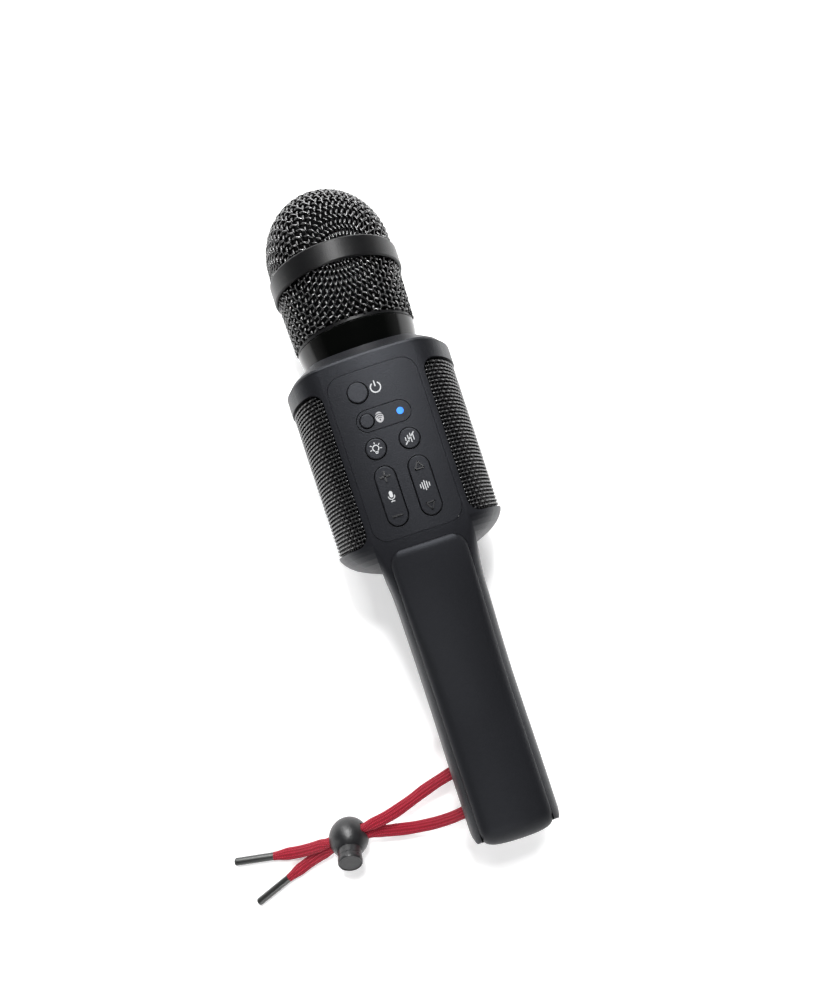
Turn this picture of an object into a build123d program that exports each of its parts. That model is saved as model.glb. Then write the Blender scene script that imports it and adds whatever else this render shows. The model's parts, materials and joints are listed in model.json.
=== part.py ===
from build123d import *
import math
import os

# Karaoke microphone, lying on its back. X to the right, Y towards the head, Z up out of the
# control side. Shapes are built round the microphone's own axis (z = 0) and are lifted by
# axis_height when they are written, so the flat back rests on z = 0. Millimetres.

# ---- driving dimensions ----
axis_height = 29.2      # the microphone's axis above the surface it lies on
tail_y = -127.4         # end of the soft boot
shell_tail_y = -124.6   # end of the hard handle shells
wall = 2.2              # moulded wall
gap = 0.3               # clearance round anything that moves
screw_head_r = 1.5

# speaker drum: (half width, side arc, corner arc, side turn, front turn, rise)
drum = dict(half_width=32.2, side_r=44.0, corner_r=14.0, side_turn=28.0, front_turn=80.0, rise=1.0)
drum_top_y = 54.4
drum_bottom_y = -8.2
# skirt under the drum: (y, size of the drum's section)
skirt = [
    (-8.2, 1.0), (-9.2, 0.988), (-10.6, 0.962), (-12.4, 0.913), (-14.2, 0.842), (-15.8, 0.748),
    (-17.2, 0.645), (-18.6, 0.53),
]
skirt_hollow = [(-6.5, 0.925), (-11.5, 0.83), (-15.8, 0.56)]
strip_half = 18.4       # half width of the plain strip between the grilles
strip_height = 30.5     # front strip above the axis

# speaker grilles
grille_y = (-7.7, 48.2)
grille_corner = 4.5
grille_thickness = 1.0
grille_recess = 0.3

# control panel and what sits in it
panel_size = (32.2, 59.1)
panel_y = 21.05
panel_corner = 5.5
panel_thickness = 2.2
button_r = 3.565
column_x = 6.05         # half the distance between the two columns of buttons
power_y = 43.2
pill_y = 33.0
round_y = 23.0
rocker_y = 6.0
pill_size = (19.1, 7.4)
pill_button_r = 2.4
pill_button_x = -6.0
light_x = 5.9
rocker_size = (7.3, 21.1)
button_top = 30.65
flange_top = 27.3
flange_bottom = 26.6
stem_bottom = 26.15
switch_top = 25.7
rocker_flange = (26.35, 26.95)
rocker_pivot_z = 26.0
board_z = (20.4, 22.0)

# head, all round the Y axis
cap_top_y = 60.8
collar_top_y = 70.4
mesh_start_y = 71.4
band_y = (91.0, 98.7)
nose_y = 127.4
band_r = 25.35
mesh_r = 24.4
dome_start_y = nose_y - mesh_r
mesh_thickness = 1.6

# handle, blending from the drum's plain strip into a rounder grip
handle_top_y = 14.0
blend_start_y = -7.0
station_step = 11.0
grip_half = 17.0
grip_front = 16.6
grip_back = 15.8
grip_corner = 9.0
strip_corner = 4.0
strip_back = 28.6
flare = 3.0             # how much wider the strip is where it leaves the drum
shell_end_r = 9.0       # rounding of the handle's end, seen from the side
pad_half = 13.9
pad_top_y = -12.4
pad_proud = 1.0
pad_depth = 1.3

# speakers, along X
speaker_y = 20.25
speaker_r = 21.0
chassis_half = 21.0

# cell and ports in the handle
cell_r = 9.2
cell_y = (-92.0, -27.0)
port_y = -16.0
jack_bore_r = 1.8
jack_x = -6.5
usb_x = 6.0

# lanyard
lace_r = 1.8
lock_centre = Vector(-66.4, -116.8, 8.4)
lock_r = 8.3
plunger_r = 4.85
plunger_reach = 12.2
plunger_travel = 2.6
plunger_axis = Vector(-0.05, -0.545, 0.837).normalized()
lace_way = Vector(-0.985, -0.12, -0.137)
lace_way = (lace_way - plunger_axis * lace_way.dot(plunger_axis)).normalized()
lace_side = lace_way.cross(plunger_axis)
lace_spread = 1.87      # each strand's distance from the lock's middle
tip_r = 1.6
tip_length = 16.6
lanyard_bar_x = -9.8
lanyard_bar_z = -8.5

# Route of each strand: from the bar, out through its eyelet, through the lock to its tip.
upper_run = [(-18.4, -102.6, 16.2), (-28.6, -106.3, 12.0), (-38.6, -110.4, 9.8), (-48.2, -113.2, 10.0)]
upper_tail = [(-83.4, -117.3, 5.6), (-91.2, -117.9, 2.0), (-100.3, -116.4, 1.95)]
lower_run = [(-18.6, -119.6, 15.8), (-28.8, -121.8, 10.2), (-38.8, -121.9, 7.0), (-47.8, -120.2, 7.0)]
lower_tail = [(-82.2, -121.7, 3.7), (-89.4, -124.3, 1.95), (-97.0, -127.2, 1.9)]


# ---- helpers ----
def arc(cx, cz, radius, start, end, y):
    # circular arc in the plane Y = y, angles in degrees from +X towards +Z
    def at(angle):
        turn = math.radians(angle)
        return (cx + radius * math.cos(turn), y, cz + radius * math.sin(turn))
    return ThreePointArc(at(start), at((start + end) / 2), at(end))


def half_outline(y, half_width, side_r, corner_r, side_turn, front_turn, rise, inset, back):
    # three kinds of tangent arc: flank, corner, then the crowned face, mirrored on the other side
    a = math.radians(side_turn)
    b = math.radians(front_turn)
    side_x = half_width - side_r
    corner_x = side_x + (side_r - corner_r) * math.cos(a)
    corner_z = rise + (side_r - corner_r) * math.sin(a)
    face_z = corner_z - corner_x * math.tan(b)
    face_r = corner_x / math.cos(b) + corner_r
    edges = [
        arc(side_x, rise, side_r - inset, 0, side_turn, y),
        arc(corner_x, corner_z, corner_r - inset, side_turn, front_turn, y),
        arc(0, face_z, face_r - inset, front_turn, 180 - front_turn, y),
        arc(-corner_x, corner_z, corner_r - inset, 180 - front_turn, 180 - side_turn, y),
        arc(-side_x, rise, side_r - inset, 180 - side_turn, 180, y),
    ]
    if back:
        edges = [edge.mirror(Plane.XY) for edge in edges]
    return edges


def crown(half_width, side_r, corner_r, side_turn, front_turn):
    # height of a half outline with no rise
    a = math.radians(side_turn)
    b = math.radians(front_turn)
    corner_x = half_width - side_r + (side_r - corner_r) * math.cos(a)
    corner_z = (side_r - corner_r) * math.sin(a)
    return corner_z + corner_r + corner_x * (1 - math.sin(b)) / math.cos(b)


def outline(y, half_width, side_r, corner_r, side_turn, front_turn, front_rise, back_rise, inset=0.0):
    common = (y, half_width, side_r, corner_r, side_turn, front_turn)
    front = half_outline(*common, front_rise, inset, False)
    back = half_outline(*common, back_rise, inset, True)
    x = half_width - inset
    right = Line((x, y, -back_rise), (x, y, front_rise))
    left = Line((-x, y, -back_rise), (-x, y, front_rise))
    return Face(Wire(front + back + [left, right]))


def drum_face(y, size=1.0, inset=0.0):
    d = drum
    return outline(
        y, d["half_width"] * size, d["side_r"] * size, d["corner_r"] * size,
        d["side_turn"], d["front_turn"], d["rise"] * size, d["rise"] * size, inset,
    )


def handle_face(y, half_width, front, back, corner_r, inset=0.0, grow=0.0):
    side_r = 34.0
    side_turn = 14.0
    front_turn = 80.0
    low = crown(half_width, side_r, corner_r, side_turn, front_turn)
    return outline(
        y, half_width, side_r, corner_r, side_turn, front_turn, front - low, back - low, inset - grow,
    )


def ease(y, start, length):
    # 1 headwards of start, 0 past its length, half a cosine wave between
    u = min(max((start - y) / length, 0.0), 1.0)
    return (1 + math.cos(math.pi * u)) / 2


def handle_at(y):
    # half width, front height, back height and corner radius of the handle at y
    narrow = ease(y, blend_start_y, 24.0)
    swell = 1 - ease(y, -40.0, 70.0)
    half_width = grip_half + (strip_half - grip_half) * narrow + 0.5 * swell
    half_width += flare * math.exp(-(((y - blend_start_y) / 9.0) ** 2))
    front = grip_front + (strip_height - grip_front) * ease(y, blend_start_y, 76.0)
    back = grip_back + (strip_back - grip_back) * ease(y, blend_start_y, 60.0)
    corner_r = grip_corner + (strip_corner - grip_corner) * ease(y, blend_start_y, 60.0)
    return half_width, front, back, corner_r


def handle_loft(inset=0.0, grow=0.0, end_y=shell_tail_y):
    count = round((handle_top_y - end_y) / station_step)
    step = (handle_top_y - end_y) / count
    faces = []
    for i in range(count + 1):
        y = handle_top_y - i * step
        half_width, front, back, corner_r = handle_at(y)
        faces.append(handle_face(y, half_width, front, back, corner_r, inset, grow))
    return loft(faces)


def drum_block(inset=0.0, low=drum_bottom_y, high=drum_top_y):
    return extrude(drum_face(low, inset=inset), amount=high - low, dir=(0, 1, 0))


def rounded_prism(width, length, radius, x, y, low, high):
    shape = Pos(x, y, low) * RectangleRounded(width, length, radius)
    return extrude(shape, amount=high - low)


def stadium_prism(width, length, x, y, low, high):
    return rounded_prism(width, length, min(width, length) / 2 - 0.001, x, y, low, high)


def post(x, y, radius, low, high):
    return Pos(x, y, (low + high) / 2) * Cylinder(radius, high - low)


def turned(points):
    # solid of revolution about the Y axis from (radius, y) points
    profile = make_face(Polyline([(r, y, 0) for r, y in points], close=True))
    return revolve(profile, Axis.Y, 360)


def turned_x(points, side):
    # solid of revolution about the speaker's axis from (radius, x) points
    profile = make_face(Polyline([(side * x, speaker_y + r, 0) for r, x in points], close=True))
    return revolve(profile, Axis((0, speaker_y, 0), (1, 0, 0)), 360)


def slab(x, y, z):
    return Pos(sum(x) / 2, sum(y) / 2, sum(z) / 2) * Box(x[1] - x[0], y[1] - y[0], z[1] - z[0])


def on_axis(shape, centre, axis):
    # stands a shape made along +Z on another axis, through centre
    return Plane(origin=centre, z_dir=axis).location * shape


parts = {}


def keep(name, shape, lift=True):
    parts[name] = Pos(0, 0, axis_height) * shape if lift else shape


# ---- cutters shared by neighbours ----
def grille_window(side, shrink=0.0):
    # everything outside the plain strips, with rounded inner corners, through the whole depth
    low, high = grille_y
    inner = strip_half + shrink
    width = 30.0
    shape = RectangleRounded(width, high - low - 2 * shrink, grille_corner)
    return extrude(Pos(side * (inner + width / 2), (low + high) / 2, -40) * shape, amount=80)


def panel_prism(extra=0.0):
    return rounded_prism(
        panel_size[0] + 2 * extra, panel_size[1] + 2 * extra, panel_corner, 0, panel_y, 20, 40,
    )


def side_round(end_y, height, radius):
    # everything headwards of end_y, with its front edge rounded as seen from the side
    low = Pos(end_y + 20, height - 50) * RectangleRounded(40, 100, radius)
    rest = Pos(end_y + 160, 0) * Rectangle(300, 100)
    return extrude(Plane.YZ * (low + rest), amount=40, both=True)


def front_round(end_y, half_width, radius):
    # everything headwards of end_y, with its side corners rounded as seen from the front
    face = Pos(0, end_y + 100) * RectangleRounded(2 * half_width, 200, radius)
    return extrude(face, amount=60, both=True)


def pad_block():
    # the soft pad's place: a rounded panel down the front that wraps the handle's end
    top = pad_top_y
    corner = 5.5
    low = -123.8
    edge = Polyline(
        (-pad_half, low), (-pad_half, top), (pad_half, top), (pad_half, low),
    )
    end = ThreePointArc((-pad_half, low), (0, tail_y), (pad_half, low))
    face = make_face([edge, end])
    corners = face.vertices().filter_by(lambda v: v.Y > top - 1)
    face = fillet(corners, corner)
    prism = extrude(face, amount=60)
    wrap = extrude(Pos(0, 0, -9) * face, amount=20) & slab((-20, 20), (-140, -121.5), (-9, 5))
    prism = prism + wrap
    skin = handle_loft(grow=pad_proud, end_y=tail_y - 2)
    skin = skin & side_round(tail_y, grip_front + pad_proud, shell_end_r + pad_proud)
    core = handle_loft(inset=pad_depth, end_y=shell_tail_y + pad_depth)
    core = core & side_round(shell_tail_y + pad_depth, grip_front - pad_depth, shell_end_r - pad_depth)
    return (skin & prism) - core


# ---- shells ----
def shell_body():
    column = handle_loft(end_y=shell_tail_y - 1) & front_round(shell_tail_y, 17.5, 4.0)
    column = column & side_round(shell_tail_y, grip_front + 0.05, shell_end_r)
    outer = drum_block() + loft([drum_face(y, size) for y, size in skirt], ruled=True) + column
    strip = handle_face(handle_top_y, strip_half, strip_height, strip_back, strip_corner)
    outer = outer + extrude(strip, amount=drum_top_y - handle_top_y, dir=(0, 1, 0))
    hollow_skirt = loft([drum_face(y, size) for y, size in skirt_hollow], ruled=True)
    hollow_handle = handle_loft(inset=wall, end_y=shell_tail_y + 3.4)
    hollow_handle = hollow_handle & side_round(shell_tail_y + 3.4, grip_front - wall, 7.0)
    hollow = drum_block(wall, -6.5, drum_top_y - wall) + hollow_skirt + hollow_handle
    shell = outer - hollow
    shell = shell - Pos(0, drum_top_y, 0) * Rot(90, 0, 0) * Cylinder(20, 12)
    flat = slab((-60, 60), (-140, 140), (-60, -axis_height))
    return shell - flat


# shell screws: x, y, boss radius, reach of the front boss, reach of the back boss
screw_places = [(-20.5, 50.0, 1.75, 26.2, 26.2), (20.5, 50.0, 1.75, 26.2, 26.2), (0, -112.5, 2.4, 15.2, 14.4)]


def make_shells(pad):
    shell = shell_body()
    for side in (-1, 1):
        shell = shell - grille_window(side)
    shell = shell - panel_prism(0.12) - pad
    eyelets = []
    for start, run in ((upper_start, upper_run), (lower_start, lower_run)):
        first = Vector(*run[0]) - start
        hole = Pos(0, 0, 6) * Cylinder(lace_r + 0.45, 12)
        eyelets.append(Pos(0, 0, -axis_height) * on_axis(hole, start, first.normalized()))
    rib = slab((-15, -6.5), (-97.4, -95.6), (-13.5, -5.5)) & handle_loft(inset=0.6)
    big = slab((-60, 60), (-140, 140), (0, 60))
    front = shell & big
    back = shell - big
    back = back + rib
    for hole in eyelets:
        back = back - hole
    back = back - lanyard_bar_solid()
    back = back - post(jack_x, port_y, 3.1, -40, -9)
    back = back - rounded_prism(9.4, 3.6, 1.7, usb_x, port_y, -40, -9)
    for x, y, radius, front_reach, back_reach in screw_places:
        front = front + post(x, y, radius, 0.0, front_reach)
        front = front - post(x, y, 0.85, -1.0, 8.0)
        back = back + post(x, y, radius, -back_reach, 0.0)
        back = back - post(x, y, 1.1, -back_reach - 8, 1.0)
        back = back - post(x, y, screw_head_r + 0.1, -back_reach - 20, -back_reach + 2.5)
    keep("front_shell", front)
    keep("rear_shell", back)


def make_shell_screws():
    screws = []
    for x, y, _, _, reach in screw_places:
        head = post(x, y, screw_head_r, -reach + 1.2, -reach + 2.5)
        head = head - (Pos(x, y, -reach + 1.2) * (Box(2.2, 0.5, 1.2) + Box(0.5, 2.2, 1.2)))
        screws.append(head + post(x, y, 0.85, -reach + 2.4, 8.0))
    keep("shell_screws", Compound(children=screws))


def make_shoulder_cap():
    rings = [(drum_top_y, 0.957), (55.5, 0.957), (56.3, 0.947), (56.8, 0.925), (cap_top_y, 0.745)]
    cap = loft([drum_face(y, size) for y, size in rings], ruled=True)
    cap = cap - Pos(0, (drum_top_y + cap_top_y) / 2, 0) * Rot(90, 0, 0) * Cylinder(18.5, 12)
    keep("shoulder_cap", cap)


def make_grilles():
    low, high = grille_y
    outer = drum_block(grille_recess, low, high)
    inner = drum_block(grille_recess + grille_thickness, low, high)
    ring = outer - inner
    for side, name in ((-1, "speaker_grille_left"), (1, "speaker_grille_right")):
        keep(name, ring & grille_window(side, 0.05))


# ---- control panel ----
rocker_list = [("mic_rocker", -column_x), ("music_rocker", column_x)]
round_list = [
    ("power_button", -column_x, power_y, button_r),
    ("light_button", -column_x, round_y, button_r),
    ("mute_button", column_x, round_y, button_r),
]


def panel_sheet():
    outer = drum_block(0.0, -12.0, 53.0)
    inner = drum_block(panel_thickness, -13.0, 54.0)
    return outer - inner


def make_control_panel():
    sheet = panel_sheet()
    plate = sheet & panel_prism()
    for _, x, y, radius in round_list:
        plate = plate - post(x, y, radius + gap, 20, 40)
    plate = plate - stadium_prism(pill_size[0] + 0.5, pill_size[1] + 0.5, 0, pill_y, 20, 40)
    width, length = rocker_size
    for _, x in rocker_list:
        plate = plate - stadium_prism(width + 2 * gap, length + 2 * gap, x, rocker_y, 20, 40)
        for side in (-1, 1):
            lug_x = x + side * 4.95
            lug = slab((lug_x - 0.45, lug_x + 0.45), (rocker_y - 1.6, rocker_y + 1.6), (24.8, 28.6))
            plate = plate + lug
            plate = plate - Pos(lug_x, rocker_y, rocker_pivot_z) * Rot(0, 90, 0) * Cylinder(0.6, 2)
    keep("control_panel", plate)
    pill = sheet & stadium_prism(pill_size[0], pill_size[1], 0, pill_y, 20, 40)
    pill = pill - post(pill_button_x, pill_y, pill_button_r + gap, 20, 40)
    pill = pill - post(light_x, pill_y, 1.2, 20, 40)
    lip = stadium_prism(pill_size[0] + 2.0, pill_size[1] + 1.0, 0, pill_y, 27.2, 27.9)
    lip = lip - stadium_prism(pill_size[0] - 2.0, pill_size[1] - 1.2, 0, pill_y, 27, 28)
    lip_gap = sheet & stadium_prism(pill_size[0] + 3.0, pill_size[1] + 2.0, 0, pill_y, 20, 40)
    pill = pill + (lip - lip_gap)
    keep("pill_window", pill)
    lens = post(light_x, pill_y, 1.2, 26.2, 30.3)
    keep("status_light", lens)


def make_buttons():
    for name, x, y, radius in round_list:
        button = post(x, y, radius, flange_top, button_top)
        button = fillet(button.edges().sort_by(Axis.Z)[-1], 0.35)
        button = button + post(x, y, radius + 0.55, flange_bottom, flange_top)
        button = button + post(x, y, 1.5, stem_bottom, flange_bottom)
        keep(name, button)
    small = post(pill_button_x, pill_y, pill_button_r, flange_bottom, button_top)
    small = fillet(small.edges().sort_by(Axis.Z)[-1], 0.3)
    small = small + post(pill_button_x, pill_y, 1.2, stem_bottom, flange_bottom)
    keep("wireless_button", small)
    width, length = rocker_size
    for name, x in rocker_list:
        rocker = stadium_prism(width, length, x, rocker_y, rocker_flange[1], button_top)
        rocker = fillet(rocker.edges().group_by(Axis.Z)[-1], 0.35)
        rocker = rocker + stadium_prism(width + 0.7, length + 1.0, x, rocker_y, *rocker_flange)
        rocker = rocker + slab((x - 3.6, x + 3.6), (rocker_y - 1.5, rocker_y + 1.5), (24.9, rocker_flange[0]))
        for side in (-1, 1):
            rocker = rocker + post(x, rocker_y + side * 7.0, 1.2, stem_bottom, rocker_flange[0])
        bore = Pos(x, rocker_y, rocker_pivot_z) * Rot(0, 90, 0) * Cylinder(0.65, 12)
        keep(name, rocker - bore)
    pins = [Pos(x, rocker_y, rocker_pivot_z) * Rot(0, 90, 0) * Cylinder(0.6, 10.6) for _, x in rocker_list]
    keep("rocker_pins", Compound(children=pins))


switch_places = [(x, y) for _, x, y, _ in round_list] + [(pill_button_x, pill_y)]
switch_places += [(x, rocker_y + side * 7.0) for _, x in rocker_list for side in (-1, 1)]
board_screw_places = [(x, y) for x in (-13.0, 13.0) for y in (-2.0, 43.0)]


def make_electronics():
    low, high = board_z
    board = slab((-15.2, 15.2), (-4.5, 45.5), board_z)
    for x, y in board_screw_places:
        board = board - post(x, y, 1.1, low - 1, high + 1)
    keep("main_board", board)
    switches = []
    for x, y in switch_places:
        body = slab((x - 2.6, x + 2.6), (y - 2.6, y + 2.6), (high, 24.7))
        switches.append(body + post(x, y, 1.1, 24.7, switch_top))
    keep("tact_switches", Compound(children=switches))
    keep("status_led", slab((light_x - 0.8, light_x + 0.8), (pill_y - 0.8, pill_y + 0.8), (high, 26.2)))
    posts = []
    for x, y in board_screw_places:
        posts.append(post(x, y, 1.7, high, high + 1.2) + post(x, y, 0.95, 16.8, high))
    keep("board_screws", Compound(children=posts))
    keep("cell", Pos(0, sum(cell_y) / 2, 0) * Rot(90, 0, 0) * Cylinder(cell_r, cell_y[1] - cell_y[0]))
    length = cell_y[1] - cell_y[0]
    cell_place = Pos(0, sum(cell_y) / 2, 0) * Rot(90, 0, 0)
    cradle = cell_place * Cylinder(cell_r + 1.7, length + 4)
    cradle = cradle - cell_place * Cylinder(cell_r + 0.05, length + 0.2)
    cradle = cradle - slab((-20, 20), (-110, 0), (1.0, 20))
    keep("cell_cradle", cradle)
    keep("port_board", slab((-12.5, 12.5), (-22.5, -9.5), (-11.6, -10.4)))
    jack = slab((jack_x - 3, jack_x + 3), (port_y - 3, port_y + 3), (-20.5, -11.6))
    jack = jack + post(jack_x, port_y, 3.0, -24.4, -20.5)
    jack = jack - post(jack_x, port_y, jack_bore_r, -25.0, -12.4)
    keep("audio_socket", jack)
    usb = rounded_prism(8.9, 3.2, 1.5, usb_x, port_y, -24.4, -11.6)
    usb = usb - rounded_prism(8.3, 2.6, 1.2, usb_x, port_y, -25.0, -18.4)
    usb = usb + slab((usb_x - 3.3, usb_x + 3.3), (port_y - 0.35, port_y + 0.35), (-23.4, -18.4))
    keep("charging_socket", usb)
    ring = Pos(0, 55.8, 0) * Rot(90, 0, 0) * (Cylinder(18.0, 1.2) - Cylinder(9.0, 1.2))
    keep("light_ring_board", ring)


# ---- speakers ----
def make_speakers():
    box = slab((-chassis_half, chassis_half), (-4.5, 45.0), (-20, 18))
    box = box - slab((-chassis_half + 1.6, chassis_half - 1.6), (-2.9, 43.4), (-18.4, 16.4))
    box = box - Pos(0, speaker_y, 0) * Rot(0, 90, 0) * Cylinder(17.9, 60)
    for x, y in board_screw_places:
        box = box + post(x, y, 2.2, 16.6, board_z[0])
        box = box - post(x, y, 1.0, 16.0, 21)
    keep("speaker_chassis", box)
    basket = [
        (18.6, 21.05), (speaker_r - 2.4, 23.0), (17.2, 23.0), (17.2, 21.8), (11.5, 14.0),
        (11.5, 13.0), (0, 13.0), (0, 5.5), (14.0, 5.5), (14.0, 13.5), (17.7, 21.05),
    ]
    cone = [(17.1, 22.6), (17.1, 21.9), (6.0, 15.6), (0, 17.4), (0, 18.0), (6.0, 16.3)]
    for side, name in ((-1, "left"), (1, "right")):
        keep("speaker_basket_" + name, turned_x(basket, side))
        keep("speaker_cone_" + name, turned_x(cone, side))


# ---- grip pad and head ----
def make_head():
    collar = [
        (21.9, cap_top_y), (22.3, 63.5), (22.9, 67.5), (23.2, 69.9), (22.8, collar_top_y),
        (18.6, collar_top_y), (18.6, cap_top_y),
    ]
    keep("head_collar", turned(collar))
    base = [
        (18.4, 57.5), (18.4, collar_top_y), (23.0, collar_top_y), (23.0, mesh_start_y),
        (15.0, mesh_start_y), (15.0, 57.5),
    ]
    keep("head_base", turned(base))
    mesh_join_y = 94.8
    lower = [
        (23.8, mesh_start_y), (mesh_r, band_y[0]), (mesh_r, mesh_join_y),
        (mesh_r - mesh_thickness, mesh_join_y), (mesh_r - mesh_thickness, band_y[0]),
        (23.8 - mesh_thickness, mesh_start_y),
    ]
    keep("lower_mesh", turned(lower))
    band = [
        (mesh_r + 0.05, band_y[0]), (band_r - 0.35, band_y[0]), (band_r, band_y[0] + 0.5),
        (band_r, band_y[1] - 0.5), (band_r - 0.35, band_y[1]), (mesh_r + 0.05, band_y[1]),
    ]
    keep("band_ring", turned(band))
    keep("mesh_dome", dome_shell(0.0, mesh_thickness, mesh_join_y + 0.2))
    keep("foam_screen", dome_shell(mesh_thickness + 0.75, 3.6, 73.0))
    seat = [
        (0, 62.0), (14.9, 62.0), (14.9, 64.0), (5.0, 66.0), (5.0, 92.0), (11.6, 94.0), (11.6, 103.0),
        (10.1, 103.0), (10.1, 96.0), (0, 96.0),
    ]
    keep("capsule_mount", turned(seat))
    keep("mic_capsule", turned([(0, 96.0), (10.0, 96.0), (10.0, 105.5), (9.2, 106.3), (0, 106.3)]))


def dome_shell(inset, thickness, low):
    # straight neck under a half sphere, hollow and open at its foot
    def block(radius, floor):
        neck = Pos(0, (floor + dome_start_y) / 2, 0) * Rot(90, 0, 0) * Cylinder(radius, dome_start_y - floor)
        ball = Pos(0, dome_start_y, 0) * Sphere(radius)
        return neck + (ball & slab((-40, 40), (dome_start_y, 140), (-40, 40)))
    return block(mesh_r - inset, low) - block(mesh_r - inset - thickness, low - 1.0)


# ---- lanyard ----
bar_point = Vector(lanyard_bar_x, 0, lanyard_bar_z + axis_height)


def strand_start(run, y):
    # on the bar, heading for the first point of the run
    start = Vector(bar_point.X, y, bar_point.Z)
    return start + (Vector(*run[0]) - start).normalized() * 0.9


upper_start = strand_start(upper_run, -99.6)
lower_start = strand_start(lower_run, -116.2)


def lanyard_bar_solid():
    length = 27.6
    return Pos(lanyard_bar_x, -95.6 - length / 2, lanyard_bar_z) * Rot(90, 0, 0) * Cylinder(1.5, length)


def strand_points(start, run, tail, side):
    middle = lock_centre + lace_side * lace_spread * side
    through = [middle - lace_way * 9.0, middle + lace_way * 9.0]
    return [start] + [Vector(*p) for p in run] + through + [Vector(*p) for p in tail]


def strand_path(name, points):
    # arcs at every corner: 0.45 of the shorter run over the tangent of half the turn
    radii = []
    for before, here, after in zip(points, points[1:], points[2:]):
        come, go = here - before, after - here
        half = math.radians(come.get_angle(go)) / 2
        radii.append(0.45 * min(come.length, go.length) / math.tan(half))
    path = FilletPolyline(*points, radius=radii)
    runs = [(b - a).length for a, b in zip(points, points[1:])]
    print(name, "length", round(path.length, 1), "least radius", round(min(radii), 1))
    print("   runs", [round(r, 1) for r in runs], "radii", [round(r, 1) for r in radii])
    return path


def make_strand(name, points, tip_name):
    path = strand_path(name, points)
    line = Wire(path.edges())
    profile = Plane(origin=line @ 0, z_dir=line % 0) * Circle(lace_r)
    tube = sweep(profile, path=line)
    print("   volume", round(tube.volume, 1), "expected", round(math.pi * lace_r**2 * line.length, 1))
    keep(name, tube, lift=False)
    end, way = line @ 1, line % 1
    tip = Pos(0, 0, tip_length / 2) * Cylinder(tip_r, tip_length)
    tip = fillet(tip.edges().sort_by(Axis.Z)[-1], 0.9)
    keep(tip_name, on_axis(tip, end, way), lift=False)


def lock_frame():
    # local X along the strands, local Y across the pair, local Z out of the plunger
    return Plane(origin=lock_centre, x_dir=lace_way, z_dir=plunger_axis).location


def make_lock():
    floor_z = -5.8
    bottom = -2.75
    barrel = Sphere(lock_r) - Pos(0, 0, (floor_z + 12) / 2) * Cylinder(plunger_r + 0.15, 12 - floor_z)
    mouth = Box(24, 2 * (lace_spread + lace_r) + 0.5, 2 * lace_r + 0.5)
    mouth = fillet(mouth.edges().filter_by(Axis.X), 1.2)
    barrel = barrel - mouth
    plunger = Pos(0, 0, (bottom + plunger_reach) / 2) * Cylinder(plunger_r, plunger_reach - bottom)
    plunger = fillet(plunger.edges().sort_by(Axis.Z)[-1], 0.6)
    low, high = -lace_r - 0.15, lace_r + plunger_travel + 0.15
    slot = Pos(0, 0, (low + high) / 2) * Box(24, 2 * (lace_spread + lace_r) + 0.4, high - low)
    plunger = plunger - slot
    turns, wire_r, coil_r = 3.0, 0.3, 3.2
    pitch = (bottom - floor_z - 2 * wire_r - 0.1) / turns
    coil = Pos(0, 0, floor_z + wire_r + 0.05) * Helix(pitch, pitch * turns, coil_r)
    spring = sweep(Plane(origin=coil @ 0, z_dir=coil % 0) * Circle(wire_r), path=coil, is_frenet=True)
    place = lock_frame()
    keep("lock_barrel", place * barrel, lift=False)
    keep("lock_plunger", place * plunger, lift=False)
    keep("lock_spring", place * spring, lift=False)


# ---- build ----
pad = pad_block()
keep("grip_pad", pad)
make_shells(pad)
make_shell_screws()
make_shoulder_cap()
make_grilles()
make_control_panel()
make_buttons()
make_electronics()
make_speakers()
make_head()
keep("lanyard_bar", lanyard_bar_solid())
make_strand("lace_upper", strand_points(upper_start, upper_run, upper_tail, 1), "lace_tip_upper")
make_strand("lace_lower", strand_points(lower_start, lower_run, lower_tail, -1), "lace_tip_lower")
make_lock()

os.makedirs("parts", exist_ok=True)
for name, shape in parts.items():
    export_step(shape, f"parts/{name}.step")
print(len(parts), "nodes")
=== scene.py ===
import json
import math

import bpy
import numpy as np
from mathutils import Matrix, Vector


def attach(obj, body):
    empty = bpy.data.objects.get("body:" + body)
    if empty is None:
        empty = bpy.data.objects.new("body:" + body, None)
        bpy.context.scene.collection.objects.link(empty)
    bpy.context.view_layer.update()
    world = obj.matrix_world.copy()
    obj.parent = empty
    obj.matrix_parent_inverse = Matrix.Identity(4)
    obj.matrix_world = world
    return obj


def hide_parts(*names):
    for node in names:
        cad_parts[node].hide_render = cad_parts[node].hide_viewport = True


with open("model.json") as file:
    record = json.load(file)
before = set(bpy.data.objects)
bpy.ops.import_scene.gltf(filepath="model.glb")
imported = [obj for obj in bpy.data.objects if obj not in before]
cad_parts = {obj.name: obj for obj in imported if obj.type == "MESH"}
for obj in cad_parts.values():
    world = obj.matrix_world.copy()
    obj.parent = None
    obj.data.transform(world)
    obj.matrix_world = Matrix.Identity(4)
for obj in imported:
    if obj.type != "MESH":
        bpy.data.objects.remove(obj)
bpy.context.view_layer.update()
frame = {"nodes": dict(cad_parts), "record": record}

# Karaoke microphone lying on its back: X to the right, Y towards the head, Z up.
# Sizes in the dictionaries are millimetres, measured from the microphone's own axis where that helps.

mm = 0.001
axisZ = 29.2  # the microphone's axis above the floor
nodes = frame["nodes"]


# mesh and curve helpers
def unit(vectors):
    return vectors / np.linalg.norm(vectors, axis=-1, keepdims=True)


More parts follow.
